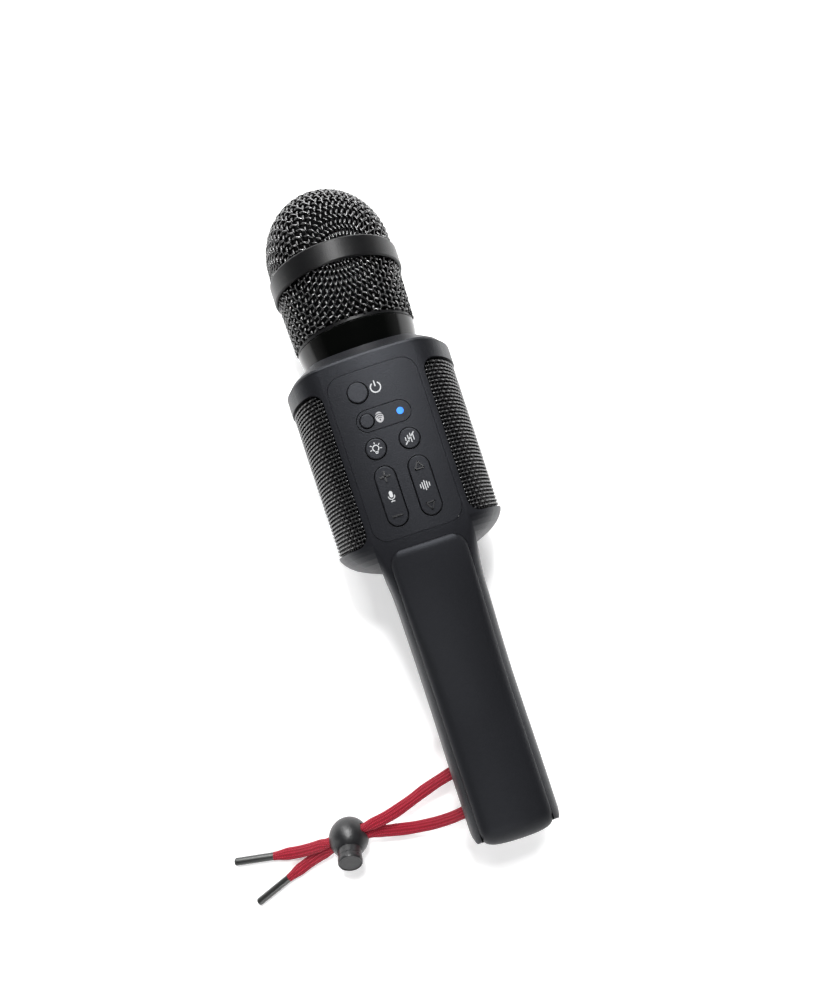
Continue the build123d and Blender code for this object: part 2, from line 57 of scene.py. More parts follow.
def buildPiece(name, points, faceSets, material, body, smooth=True, uv=None):
    # points in millimetres; faceSets is a list of index arrays, one row per face
    mesh = bpy.data.meshes.new(name)
    corners = np.concatenate([faces.ravel() for faces in faceSets]).astype(np.int32)
    sizes = np.concatenate([np.full(len(faces), faces.shape[1]) for faces in faceSets])
    starts = np.concatenate([[0], np.cumsum(sizes)[:-1]]).astype(np.int32)
    mesh.vertices.add(len(points))
    mesh.vertices.foreach_set("co", (np.asarray(points) * mm).astype(np.float32).ravel())
    mesh.loops.add(len(corners))
    mesh.loops.foreach_set("vertex_index", corners)
    mesh.polygons.add(len(sizes))
    mesh.polygons.foreach_set("loop_start", starts)
    mesh.update(calc_edges=True)
    mesh.polygons.foreach_set("use_smooth", np.full(len(sizes), smooth))
    if uv is not None:
        layer = mesh.uv_layers.new(name="UVMap")
        layer.data.foreach_set("uv", np.asarray(uv)[corners].astype(np.float32).ravel())
    mesh.validate()
    piece = bpy.data.objects.new(name, mesh)
    bpy.context.scene.collection.objects.link(piece)
    mesh.materials.append(material)
    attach(piece, body)
    return piece


def gridQuads(rows, columns, wrap=False, first=0, flip=False):
    # quads of a rows x columns grid of points, stored row by row; wrap joins the last column to the first
    i = np.arange(rows - 1)[:, None]
    j = np.arange(columns if wrap else columns - 1)[None, :]
    k = (j + 1) % columns
    here, below = i * columns, (i + 1) * columns
    quads = np.stack([here + j, below + j, below + k, here + k], axis=-1).reshape(-1, 4) + first
    return quads[:, ::-1] if flip else quads


def tubePoints(line, up, radius, sides):
    # a ring of points at each step of the line: centre + radius * (cos * side + sin * up)
    along = unit(np.gradient(line, axis=0))
    side = unit(np.cross(along, up))
    lift = np.cross(side, along)
    turn = 2 * math.pi * np.arange(sides) / sides
    ring = np.cos(turn)[None, :, None] * side[:, None, :] + np.sin(turn)[None, :, None] * lift[:, None, :]
    return (line[:, None, :] + radius * ring).reshape(-1, 3)


def wirePiece(name, lines, ups, radius, sides, material, body):
    # many round wires in one mesh, each closed at both ends; radius is one number or one for each wire
    points, quads, caps = [], [], []
    first = 0
    for line, up, size in zip(lines, ups, np.broadcast_to(radius, len(lines))):
        points.append(tubePoints(line, up, size, sides))
        quads.append(gridQuads(len(line), sides, True, first))
        last = first + (len(line) - 1) * sides
        caps.append(first + np.arange(sides)[None, :])
        caps.append(last + np.arange(sides)[None, ::-1])
        first = last + sides
    faceSets = [np.concatenate(quads), np.concatenate(caps)]
    return buildPiece(name, np.concatenate(points), faceSets, material, body)


def lathePiece(name, profile, place, axes, material, body, turns=96):
    # a profile of (radius, height) points turned round the third axis, with a small cap at both ends
    profile = np.asarray(profile, float)
    turn = 2 * math.pi * np.arange(turns) / turns
    ring = np.cos(turn)[:, None] * axes[0] + np.sin(turn)[:, None] * axes[1]
    points = np.asarray(place) + profile[:, :1, None] * ring[None] + profile[:, 1:, None] * axes[2]
    rows = len(profile)
    caps = np.stack([np.arange(turns), (rows - 1) * turns + np.arange(turns)[::-1]])
    return buildPiece(name, points.reshape(-1, 3), [gridQuads(rows, turns, True), caps], material, body)


def smoothStep(value):
    value = np.clip(value, 0.0, 1.0)
    return value * value * (3 - 2 * value)


# shader helpers
def addNode(tree, kind, values=None, **settings):
    made = tree.nodes.new(kind)
    for key, value in settings.items():
        setattr(made, key, value)
    for key, value in (values or {}).items():
        made.inputs[key].default_value = value
    return made


def mathNode(tree, operation, first, second=None):
    made = addNode(tree, "ShaderNodeMath", operation=operation)
    for index, value in enumerate((first, second)):
        if value is None:
            continue
        if isinstance(value, (int, float)):
            made.inputs[index].default_value = value
        else:
            tree.links.new(value, made.inputs[index])
    return made.outputs[0]


def startGroup(name, inputs, outputs):
    group = bpy.data.node_groups.new(name, "ShaderNodeTree")
    for label, kind, value in inputs:
        socket = group.interface.new_socket(name=label, in_out="INPUT", socket_type=kind)
        socket.default_value = value
    for label, kind in outputs:
        group.interface.new_socket(name=label, in_out="OUTPUT", socket_type=kind)
    return group, group.nodes.new("NodeGroupInput"), group.nodes.new("NodeGroupOutput")


def buildGrainGroup():
    # moulded grain: fine noise lifts the normal, broad noise shifts shade and roughness
    group, given, result = startGroup(
        "mouldedGrain",
        [
            ("Color", "NodeSocketColor", (0.03, 0.03, 0.03, 1)),
            ("Shade Spread", "NodeSocketFloat", 0.1),
            ("Roughness", "NodeSocketFloat", 0.5),
            ("Roughness Spread", "NodeSocketFloat", 0.08),
            ("Grain Scale", "NodeSocketFloat", 2600.0),
            ("Grain Depth", "NodeSocketFloat", 0.3),
        ],
        [("Color", "NodeSocketColor"), ("Roughness", "NodeSocketFloat"), ("Normal", "NodeSocketVector")],
    )
    link = group.links.new
    place = addNode(group, "ShaderNodeTexCoord")
    fine = addNode(group, "ShaderNodeTexNoise", {"Detail": 2.0, "Roughness": 0.6})
    link(place.outputs["Object"], fine.inputs["Vector"])
    link(given.outputs["Grain Scale"], fine.inputs["Scale"])
    broad = addNode(group, "ShaderNodeTexNoise", {"Scale": 55.0, "Detail": 4.0})
    link(place.outputs["Object"], broad.inputs["Vector"])
    swing = mathNode(group, "SUBTRACT", broad.outputs["Fac"], 0.5)
    speck = mathNode(group, "SUBTRACT", fine.outputs["Fac"], 0.5)
    mixed = mathNode(group, "ADD", swing, speck)
    shade = mathNode(group, "ADD", mathNode(group, "MULTIPLY", mixed, given.outputs["Shade Spread"]), 1.0)
    tint = addNode(group, "ShaderNodeVectorMath", operation="SCALE")
    link(given.outputs["Color"], tint.inputs[0])
    link(shade, tint.inputs["Scale"])
    link(tint.outputs[0], result.inputs["Color"])
    roughSwing = mathNode(group, "MULTIPLY", swing, given.outputs["Roughness Spread"])
    rough = mathNode(group, "ADD", roughSwing, given.outputs["Roughness"])
    link(rough, result.inputs["Roughness"])
    bump = addNode(group, "ShaderNodeBump", {"Distance": 0.0002})
    link(given.outputs["Grain Depth"], bump.inputs["Strength"])
    link(fine.outputs["Fac"], bump.inputs["Height"])
    link(bump.outputs["Normal"], result.inputs["Normal"])
    return group


grainGroup = buildGrainGroup()


def makeFinish(
    name, color, roughness, grain=None, metallic=0.0, coat=0.0, specular=0.5,
    shade=0.12, spread=0.08, tint=(1, 1, 1),
):
    # one Principled shader fed by the moulded grain
    material = bpy.data.materials.new(name)
    material.use_nodes = True
    tree = material.node_tree
    shader = tree.nodes["Principled BSDF"]
    shader.inputs["Metallic"].default_value = metallic
    shader.inputs["Coat Weight"].default_value = coat
    shader.inputs["Coat Roughness"].default_value = 0.08
    shader.inputs["Specular IOR Level"].default_value = specular
    shader.inputs["Specular Tint"].default_value = (*tint, 1)
    grainNode = addNode(tree, "ShaderNodeGroup", node_tree=grainGroup)
    scale, depth = grain or (2600.0, 0.1)
    values = {
        "Color": (*color, 1), "Shade Spread": shade, "Roughness": roughness,
        "Roughness Spread": spread, "Grain Scale": scale, "Grain Depth": depth,
    }
    for key, value in values.items():
        grainNode.inputs[key].default_value = value
    tree.links.new(grainNode.outputs["Color"], shader.inputs["Base Color"])
    tree.links.new(grainNode.outputs["Roughness"], shader.inputs["Roughness"])
    tree.links.new(grainNode.outputs["Normal"], shader.inputs["Normal"])
    return material


# finishes
coolBlack = dict(specular=0.25, tint=(0.86, 0.9, 1.0))
finish = {
    "shell": makeFinish("shellSatin", (0.006, 0.0062, 0.0075), 0.42, (2300.0, 0.42), shade=0.3, **coolBlack),
    "panel": makeFinish("panelSatin", (0.0065, 0.0067, 0.008), 0.44, (2300.0, 0.42), shade=0.3, **coolBlack),
    "button": makeFinish("buttonSatin", (0.0065, 0.0067, 0.008), 0.4, (2600.0, 0.3), shade=0.2, **coolBlack),
    "soft_grip": makeFinish("softGrip", (0.0065, 0.0067, 0.008), 0.5, (3200.0, 0.35), shade=0.2, **coolBlack),
    "wire_mesh": makeFinish("glossWire", (0.0015, 0.0015, 0.0017), 0.13, (900.0, 0.03), specular=0.85),
    "grille": makeFinish("grilleWire", (0.005, 0.005, 0.0055), 0.2, (1500.0, 0.05), specular=0.7),
    "band": makeFinish("bandSatin", (0.004, 0.0041, 0.0045), 0.34, (2600.0, 0.25), specular=0.22),
    "gloss": makeFinish("pianoBlack", (0.001, 0.0012, 0.001), 0.1, (300.0, 0.01), specular=0.3, spread=0.03),
    "screw_ring": makeFinish("screwRing", (0.25, 0.25, 0.26), 0.35, (1500.0, 0.1), metallic=1.0),
    "foam": makeFinish("foamCore", (0.004, 0.004, 0.0045), 0.9, (900.0, 0.9), specular=0.1, shade=0.9),
    "capsule": makeFinish("capsuleCan", (0.62, 0.62, 0.64), 0.32, (1800.0, 0.1), metallic=1.0),
    "inner": makeFinish("innerPlastic", (0.02, 0.02, 0.021), 0.55, (1800.0, 0.3)),
    "board": makeFinish("boardGreen", (0.01, 0.09, 0.035), 0.35, (1500.0, 0.15), coat=0.3),
    "switch": makeFinish("switchBody", (0.05, 0.05, 0.05), 0.45),
    "magnet": makeFinish("platedSteel", (0.42, 0.42, 0.43), 0.3, (1200.0, 0.1), metallic=1.0),
    "cone": makeFinish("pressedCone", (0.03, 0.03, 0.03), 0.7, (1500.0, 0.6)),
    "cell": makeFinish("cellSleeve", (0.02, 0.12, 0.4), 0.35, (900.0, 0.1), coat=0.3),
    "steel": makeFinish("zincSteel", (0.5, 0.5, 0.51), 0.32, (1800.0, 0.1), metallic=1.0),
    "led": makeFinish("clearLed", (0.8, 0.8, 0.85), 0.15),
    "tip": makeFinish("gunmetalTip", (0.09, 0.092, 0.09), 0.3, (900.0, 0.12), metallic=0.85, spread=0.2),
    "lock": makeFinish("lockMatte", (0.010, 0.0102, 0.0112), 0.36, (1700.0, 0.4), specular=0.6, shade=0.25),
    # raised signs: base colour a little lighter than the panel's, a painted highlight for the light on their
    # raised tops; the lower roughness and higher specular are the real finish
    "raised": makeFinish("raisedSign", (0.016, 0.0162, 0.018), 0.26, (2600.0, 0.2), specular=0.7),
    "print": makeFinish("whitePrint", (0.46, 0.47, 0.48), 0.5, (2600.0, 0.1), shade=0.15),
    "pale": makeFinish("palePrint", (0.34, 0.34, 0.35), 0.5, (2600.0, 0.1), shade=0.15),
}


def makeGlow():
    material = bpy.data.materials.new("blueLens")
    material.use_nodes = True
    tree = material.node_tree
    shader = tree.nodes["Principled BSDF"]
    place = addNode(tree, "ShaderNodeTexCoord")
    noise = addNode(tree, "ShaderNodeTexNoise", {"Scale": 900.0, "Detail": 2.0})
    tree.links.new(place.outputs["Object"], noise.inputs["Vector"])
    ramp = addNode(tree, "ShaderNodeValToRGB")
    ramp.color_ramp.elements[0].color = (0.01, 0.11, 0.70, 1)
    ramp.color_ramp.elements[1].color = (0.04, 0.26, 0.92, 1)
    tree.links.new(noise.outputs["Fac"], ramp.inputs["Fac"])
    tree.links.new(ramp.outputs["Color"], shader.inputs["Base Color"])
    tree.links.new(ramp.outputs["Color"], shader.inputs["Emission Color"])
    shader.inputs["Emission Strength"].default_value = 0.8
    shader.inputs["Roughness"].default_value = 0.2
    return material


finish["light"] = makeGlow()

for name, piece in nodes.items():
    slotName = next((s["material_slot"] for s in frame["record"]["subparts"] if s.get("node") == name), None)
    if name == "head_base":
        slotName = "band"
    piece.data.materials.clear()
    piece.data.materials.append(finish.get(slotName, finish["shell"]))
print("finishes on", len(nodes), "CAD nodes")


# camera, light and floor
view = dict(place=(-8.2, -21.9, 306.1), roll=-18.2, lens=25.92, shift=(0.0025, 0.0755))


def makeCamera():
    data = bpy.data.cameras.new("mainCamera")
    data.lens = view["lens"]
    data.sensor_width = 36.0
    data.sensor_fit = "AUTO"
    data.shift_x, data.shift_y = view["shift"]
    data.clip_start, data.clip_end = 0.01, 20.0
    camera = bpy.data.objects.new("mainCamera", data)
    camera.location = [value * mm for value in view["place"]]
    camera.rotation_euler = (0, 0, math.radians(view["roll"]))
    bpy.context.scene.collection.objects.link(camera)
    bpy.context.scene.camera = camera


# name: (place in mm, what it faces in mm, size in mm, watts)
lamps = {
    "leftBank": ((-560, -90, 190), (0, -60, 20), (200, 480), 0.4),
    "rightBank": ((560, -90, 190), (0, -60, 20), (200, 480), 0.5),
    "headBank": ((60, 560, 520), (0, 0, 20), (420, 160), 6.0),
    "headLow": ((0, 640, 190), (0, 60, 40), (620, 140), 2.6),
    "tailBank": ((-60, -640, 170), (0, 0, 20), (700, 160), 0.8),
    "frontKey": ((110, 440, 950), (0, 30, 20), (110, 110), 5.6),
    "tailKey": ((-160, -700, 900), (0, -60, 0), (300, 300), 3.2),
}


def makeLamps():
    for name, (place, target, size, watts) in lamps.items():
        data = bpy.data.lights.new(name, "AREA")
        data.shape = "RECTANGLE"
        data.size, data.size_y = size[0] * mm, size[1] * mm
        data.energy = watts
        lamp = bpy.data.objects.new(name, data)
        lamp.location = [value * mm for value in place]
        lamp.rotation_euler = Vector(np.subtract(place, target)).to_track_quat("Z", "Y").to_euler()
        bpy.context.scene.collection.objects.link(lamp)


def makeWorld():
    world = bpy.data.worlds.new("studio")
    bpy.context.scene.world = world
    world.use_nodes = True
    tree = world.node_tree
    place = addNode(tree, "ShaderNodeTexCoord")
    split = addNode(tree, "ShaderNodeSeparateXYZ")
    tree.links.new(place.outputs["Generated"], split.inputs[0])
    ramp = addNode(tree, "ShaderNodeValToRGB")
    tree.links.new(split.outputs["Z"], ramp.inputs["Fac"])
    ramp.color_ramp.elements[0].position = 0.04
    ramp.color_ramp.elements[0].color = (1.0, 1.0, 1.0, 1)
    ramp.color_ramp.elements[1].position = 0.5
    ramp.color_ramp.elements[1].color = (0.09, 0.09, 0.1, 1)
    ground = tree.nodes["Background"]
    tree.links.new(ramp.outputs["Color"], ground.inputs["Color"])
    ground.inputs["Strength"].default_value = 0.4


def makeFloor():
    mesh = bpy.data.meshes.new("floor")
    half = 3.0
    outline = [(-half, -half, 0), (half, -half, 0), (half, half, 0), (-half, half, 0)]
    mesh.from_pydata(outline, [], [(0, 1, 2, 3)])
    floor = bpy.data.objects.new("floor", mesh)
    material = makeFinish("floorPaper", (0.96, 0.96, 0.96), 0.9, (200.0, 0.02), specular=0.1, shade=0.01)
    shader = material.node_tree.nodes["Principled BSDF"]
    shader.inputs["Emission Color"].default_value = (1, 1, 1, 1)
    shader.inputs["Emission Strength"].default_value = 0.34
    mesh.materials.append(material)
    bpy.context.scene.collection.objects.link(floor)


makeCamera()
makeLamps()
makeWorld()
makeFloor()
bpy.context.scene.view_settings.view_transform = "Standard"
print("camera, lamps and floor")


# lanyard
lanyard = dict(
    barPoint=(-9.8, 20.7), startReach=0.9, wide=5.0, thick=2.9, pinched=3.5, tipEnd=3.3,
    lockCentre=(-66.4, -116.8, 8.4), lockWay=(-0.985, -0.12, -0.137), pressWay=(-0.05, -0.545, 0.837),
    spread=1.87, reach=9.0, pinchReach=7.0, pinchEase=6.0, tipReach=7.0,
    ribs=7, ribDepth=0.045, sides=84, step=0.5,
)
strands = {
    "laceUpper": dict(
        side=1, startY=-99.6, node="lace_upper", tip="lace_tip_upper", length=95.3,
        run=[(-18.4, -102.6, 16.2), (-28.6, -106.3, 12.0), (-38.6, -110.4, 9.8), (-48.2, -113.2, 10.0)],
        tail=[(-83.4, -117.3, 5.6), (-91.2, -117.9, 2.0), (-100.3, -116.4, 1.95)],
    ),
    "laceLower": dict(
        side=-1, startY=-116.2, node="lace_lower", tip="lace_tip_lower", length=92.8,
        run=[(-18.6, -119.6, 15.8), (-28.8, -121.8, 10.2), (-38.8, -121.9, 7.0), (-47.8, -120.2, 7.0)],
        tail=[(-82.2, -121.7, 3.7), (-89.4, -124.3, 1.95), (-97.0, -127.2, 1.9)],
    ),
}


def lockDirections():
    # the way out of the plunger, the way along the strands and the way across them
    press = unit(np.array(lanyard["pressWay"]))
    way = np.array(lanyard["lockWay"])
    way = unit(way - press * np.dot(way, press))
    return press, way, np.cross(way, press)


def strandRoute(strand):
    _, way, across = lockDirections()
    start = np.array([lanyard["barPoint"][0], strand["startY"], lanyard["barPoint"][1]])
    start = start + unit(np.array(strand["run"][0]) - start) * lanyard["startReach"]
    middle = np.array(lanyard["lockCentre"]) + across * lanyard["spread"] * strand["side"]
    through = [middle - way * lanyard["reach"], middle + way * lanyard["reach"]]
    return np.array([start, *strand["run"], *through, *strand["tail"]])


def splineLine(points, step):
    # even steps along the smooth spline whose control points are the route's
    data = bpy.data.curves.new("routeLine", "CURVE")
    data.dimensions = "3D"
    data.resolution_u = 32
    spline = data.splines.new("NURBS")
    spline.points.add(len(points) - 1)
    spline.points.foreach_set("co", np.column_stack([points * mm, np.ones(len(points))]).ravel())
    spline.order_u = 3
    spline.use_endpoint_u = True
    holder = bpy.data.objects.new("routeLine", data)
    bpy.context.scene.collection.objects.link(holder)
    graph = bpy.context.evaluated_depsgraph_get()
    mesh = bpy.data.meshes.new_from_object(holder.evaluated_get(graph))
    line = np.zeros(len(mesh.vertices) * 3)
    mesh.vertices.foreach_get("co", line)
    line = line.reshape(-1, 3) / mm
    bpy.data.objects.remove(holder)
    bpy.data.curves.remove(data)
    bpy.data.meshes.remove(mesh)
    run = np.concatenate([[0], np.cumsum(np.linalg.norm(np.diff(line, axis=0), axis=1))])
    even = np.linspace(0, run[-1], int(run[-1] / step) + 1)
    return np.column_stack([np.interp(even, run, line[:, k]) for k in range(3)]), even


def makeLaceFinish():
    # knitted lace: lengthwise ribs with small slanted stitches in the strand's own UV; the colour follows the
    # stitch height, with a painted highlight on the crests and painted shade in the hollows
    material = bpy.data.materials.new("crimsonLace")
    material.use_nodes = True
    tree = material.node_tree
    shader = tree.nodes["Principled BSDF"]
    link = tree.links.new
    layer = addNode(tree, "ShaderNodeUVMap", uv_map="UVMap")
    split = addNode(tree, "ShaderNodeSeparateXYZ")
    link(layer.outputs[0], split.inputs[0])
    along, rib = split.outputs["X"], split.outputs["Y"]
    fold = mathNode(tree, "ABSOLUTE", mathNode(tree, "SUBTRACT", mathNode(tree, "FRACT", rib), 0.5))
    forward, sideways = mathNode(tree, "MULTIPLY", along, 1.35), mathNode(tree, "MULTIPLY", fold, 1.3)
    slant = mathNode(tree, "ADD", forward, sideways)
    stitch = mathNode(tree, "ABSOLUTE", mathNode(tree, "SINE", mathNode(tree, "MULTIPLY", slant, math.pi)))
    crest = mathNode(tree, "MULTIPLY", mathNode(tree, "SUBTRACT", 0.5, fold), 2.0)
    ribHeight = mathNode(tree, "ADD", mathNode(tree, "MULTIPLY", crest, 0.7), 0.3)
    height = mathNode(tree, "MULTIPLY", stitch, ribHeight)
    # colour by height: painted shade at the low end of the ramp, the lace's own crimson in the middle, painted
    # highlight at the high end
    ramp = addNode(tree, "ShaderNodeValToRGB")
    ramp.color_ramp.elements[0].color = (0.12, 0.001, 0.006, 1)
    ramp.color_ramp.elements[1].color = (0.66, 0.04, 0.085, 1)
    middle = ramp.color_ramp.elements.new(0.5)
    middle.color = (0.36, 0.006, 0.022, 1)
    link(height, ramp.inputs["Fac"])
    link(ramp.outputs["Color"], shader.inputs["Base Color"])
    bump = addNode(tree, "ShaderNodeBump", {"Strength": 0.9, "Distance": 0.0003})
    link(height, bump.inputs["Height"])
    link(bump.outputs["Normal"], shader.inputs["Normal"])
    shader.inputs["Roughness"].default_value = 0.62
    shader.inputs["Sheen Weight"].default_value = 0.1
    shader.inputs["Sheen Tint"].default_value = (1.0, 0.5, 0.55, 1)
    shader.inputs["Specular IOR Level"].default_value = 0.3
    return material


laceFinish = makeLaceFinish()


def makeStrand(name, strand, seed):
    # flat oval section: |x/a|^2.4 + |z/b|^2 = 1 with small ribs, squeezed in the lock and at the tip
    line, even = splineLine(strandRoute(strand), lanyard["step"])
    press, way, _ = lockDirections()
    rng = np.random.default_rng(seed)
    fromLock = np.abs((line - np.array(lanyard["lockCentre"])) @ way)
    nearLock = 1 - smoothStep((fromLock - lanyard["pinchReach"]) / lanyard["pinchEase"])
    nearTip = smoothStep((even - (even[-1] - lanyard["tipReach"])) / lanyard["tipReach"])
    knots = np.linspace(0, even[-1], 22)
    wave = np.interp(even, knots, rng.uniform(-1, 1, len(knots)))
    wave = np.convolve(np.pad(wave, 6, mode="edge"), np.ones(13) / 13, mode="valid")
    wide = lanyard["wide"] * (1 + 0.05 * wave)
    wide = wide + (lanyard["pinched"] - wide) * nearLock
    wide = wide + (lanyard["tipEnd"] - wide) * nearTip
    thick = lanyard["thick"] * (1 - 0.04 * wave)
    thick = thick + (lanyard["pinched"] - thick) * nearLock
    thick = thick + (lanyard["tipEnd"] - 0.2 - thick) * nearTip
    along = unit(np.gradient(line, axis=0))
    share = nearLock[:, None]
    upright = np.array([[0.0, 0.0, 1.0]]) * (1 - share) + press[None, :] * share
    side = unit(np.cross(along, upright))
    lift = np.cross(side, along)
    sides = lanyard["sides"]
    turn = 2 * math.pi * np.arange(sides) / sides
    c, s = np.cos(turn), np.sin(turn)
    profileX = np.sign(c) * np.abs(c) ** (2 / 2.4)
    profileZ = np.sign(s) * np.abs(s) ** 0.9
    rib = 0.5 + 0.5 * np.cos(2 * math.pi * lanyard["ribs"] * turn / math.pi)
    swell = 1 + lanyard["ribDepth"] * (rib - 0.5)
    x = (wide[:, None] / 2) * (profileX * swell)[None, :]
    z = (thick[:, None] / 2) * (profileZ * swell)[None, :]
    points = line[:, None, :] + x[..., None] * side[:, None, :] + z[..., None] * lift[:, None, :]
    count = len(line)
    ribTurn = lanyard["ribs"] * 2 * turn / (2 * math.pi) + 0.5
    uv = np.stack(np.broadcast_arrays(even[:, None], ribTurn[None, :]), axis=-1).reshape(-1, 2)
    quads = gridQuads(count, sides, True)
    caps = np.stack([np.arange(sides), (count - 1) * sides + np.arange(sides)[::-1]])
    piece = buildPiece(name, points.reshape(-1, 3), [quads, caps], laceFinish, "microphone", uv=uv)
    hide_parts(strand["node"])
    carried = [strand["tip"]]
    if strand["side"] == 1:
        carried += ["lock_barrel", "lock_plunger", "lock_spring"]
    print(name, "spline length", round(float(even[-1]), 1))


for index, (name, strand) in enumerate(strands.items()):
    makeStrand(name, strand, 11 + index)
print("lanyard strands")


# woven head
head = dict(
    radius=24.4, ballY=103.0, wire=0.46, crimp=0.42, spacing=2.35, steps=5, sides=7,
    domeTurn=15.0, cupTurn=5.5, domeCount=21, cupCount=24,
    domeFoot=95.7, cupFoot=71.3, cupTop=94.6, cupBallY=86.5,
    cupLowRadius=23.8, cupHighRadius=24.4, cupStraightY=91.0,
)


def around(angle):
    return np.array([math.sin(math.radians(angle)), 0.0, math.cos(math.radians(angle))])


def drapedNet(meridian, surface, beyond, turn, count, spacing):
    # a woven cloth pressed over a form: every crossing lies on it, one spacing from its two neighbours
    net = np.full((count + 1, count + 1, 3), np.nan)
    arcs = np.arange(count + 1) * spacing
    net[:, 0] = meridian(arcs, around(turn - 45))
    net[0, :] = meridian(arcs, around(turn + 45))
    net[:, 0][beyond(net[:, 0])] = np.nan
    net[0, :][beyond(net[0, :])] = np.nan
    for total in range(2, 2 * count + 1):
        i = np.arange(max(1, total - count), min(count, total - 1) + 1)
        j = total - i
        a, b, c = net[i - 1, j], net[i, j - 1], net[i - 1, j - 1]
        good = np.isfinite(a[:, 0]) & np.isfinite(b[:, 0]) & np.isfinite(c[:, 0])
        if not good.any():
            continue
        i, j, a, b, c = i[good], j[good], a[good], b[good], c[good]
        d = a + b - c
        for _ in range(12):
            value, slope = surface(d)
            lines = np.stack([2 * (d - a), 2 * (d - b), slope], axis=1)
            errorA, errorB = (((d - p) ** 2).sum(1) - spacing ** 2 for p in (a, b))
            error = np.stack([errorA, errorB, value], axis=1)
            move = np.linalg.solve(lines + 1e-9 * np.eye(3), error[..., None])[..., 0]
            d = d - np.clip(move, -1.0, 1.0)
        value, slope = surface(d)
        offForm = np.abs(value) > 0.01
        stretched = np.abs(np.linalg.norm(d - a, axis=1) - spacing) > 0.02
        folded = np.linalg.norm(d - c, axis=1) < 0.3 * spacing
        d[offForm | stretched | folded | beyond(d)] = np.nan
        net[i, j] = d
    full = np.full((2 * count + 1, 2 * count + 1, 3), np.nan)
    n = np.arange(count + 1)
    u, v = np.meshgrid(n, n, indexing="ij")
    for quarter in range(4):
        points = net.copy()
        iu, iv = u, v
        for _ in range(quarter):
            points = np.stack([points[..., 2], points[..., 1], -points[..., 0]], axis=-1)
            iu, iv = -iv, iu
        full[iu + count, iv + count] = points
    return full


def netWires(net, surface, crimp, steps, keep):
    # each row of crossings becomes a wire that goes over one neighbour and under the next
    lines, ups = [], []
    share = np.arange(steps) / steps
    for family in range(2):
        rows = net if family == 0 else net.transpose(1, 0, 2)
        for index, row in enumerate(rows):
            good = np.flatnonzero(np.isfinite(row[:, 0]))
            if len(good) < 3:
                continue
            for run in np.split(good, np.flatnonzero(np.diff(good) > 1) + 1):
                if len(run) < 3:
                    continue
                knots = row[run]
                padded = np.concatenate([[2 * knots[0] - knots[1]], knots, [2 * knots[-1] - knots[-2]]])
                p0, p1, p2, p3 = padded[:-3, None], padded[1:-2, None], padded[2:-1, None], padded[3:, None]
                t = share[None, :, None]
                bend, twist = 2 * p0 - 5 * p1 + 4 * p2 - p3, 3 * p1 - p0 - 3 * p2 + p3
                curve = 0.5 * (2 * p1 + (p2 - p0) * t + bend * t ** 2 + twist * t ** 3)
                curve = np.concatenate([curve.reshape(-1, 3), knots[-1:]])
                phase = run[0] + np.arange(len(curve)) / steps + index + family
                value, slope = surface(curve)
                slope = unit(slope)
                curve = curve - slope * value[:, None] + slope * (crimp * np.cos(math.pi * phase))[:, None]
                inside = np.flatnonzero(keep(curve))
                for part in np.split(inside, np.flatnonzero(np.diff(inside) > 1) + 1):
                    if len(part) > 3:
                        lines.append(curve[part])
                        ups.append(slope[part])
    return lines, ups


def ballForm(centre, pole):
    # a ball at the given height with a straight tube behind it; pole 1 faces the head, -1 the tail
    middle = head["radius"] - head["wire"] - head["crimp"]

    def meridian(arcs, way):
        turn = np.minimum(arcs / middle, math.pi / 2)
        straight = np.maximum(arcs - middle * math.pi / 2, 0)
        height = centre + pole * (middle * np.cos(turn) - straight)
        return way[None, :] * (middle * np.sin(turn))[:, None] + np.array([0, 1, 0]) * height[:, None]

    def surface(points):
        lifted = points - np.array([0, centre, 0])
        lifted[:, 1] = pole * np.maximum(pole * lifted[:, 1], 0)
        size = np.linalg.norm(lifted, axis=1)
        return size - middle, lifted / size[:, None]

    return meridian, surface


def finishWires(name, node, lines, ups):
    for line in lines:
        line[:, 2] += axisZ
    piece = wirePiece(
        name, lines, ups, head["wire"], head["sides"], finish["wire_mesh"], "microphone",
    )
    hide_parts(node)
    print(name, "wires", len(lines), "triangles", 2 * len(piece.data.polygons))


def makeDome():
    meridian, surface = ballForm(head["ballY"], 1)
    foot = head["domeFoot"]
    net = drapedNet(
        meridian, surface, lambda p: p[:, 1] < foot - 3, head["domeTurn"], head["domeCount"], head["spacing"],
    )
    lines, ups = netWires(net, surface, head["crimp"], head["steps"], lambda p: p[:, 1] > foot)
    finishWires("domeWire", "mesh_dome", lines, ups)


def cupWall(y):
    # middle of the wires at each height of the tapered lower part
    share = np.clip((y - head["cupFoot"]) / (head["cupStraightY"] - head["cupFoot"]), 0, 1)
    outer = head["cupLowRadius"] + (head["cupHighRadius"] - head["cupLowRadius"]) * share
    return outer - head["wire"] - head["crimp"]


def makeCup():
    # pressed over a ball like the dome, pole towards the tail, then pushed out to the tapered wall
    meridian, surface = ballForm(head["cupBallY"], -1)
    foot, top = head["cupFoot"], head["cupTop"]
    net = drapedNet(
        meridian, surface, lambda p: p[:, 1] > top + 3, head["cupTurn"], head["cupCount"], head["spacing"],
    )
    scale = cupWall(net[..., 1]) / np.maximum(np.hypot(net[..., 0], net[..., 2]), 0.1)
    net[..., 0] *= scale
    net[..., 2] *= scale
    net[net[..., 1] < foot - 4] = np.nan

    def wallSurface(points):
        x, y, z = points.T
        radius = np.hypot(x, z)
        return radius - cupWall(y), np.stack([x / radius, np.zeros(len(points)), z / radius], axis=1)

    def inside(points):
        return (points[:, 1] > foot) & (points[:, 1] < top)

    lines, ups = netWires(net, wallSurface, head["crimp"], head["steps"], inside)
    finishWires("lowerWire", "lower_mesh", lines, ups)


makeDome()
makeCup()


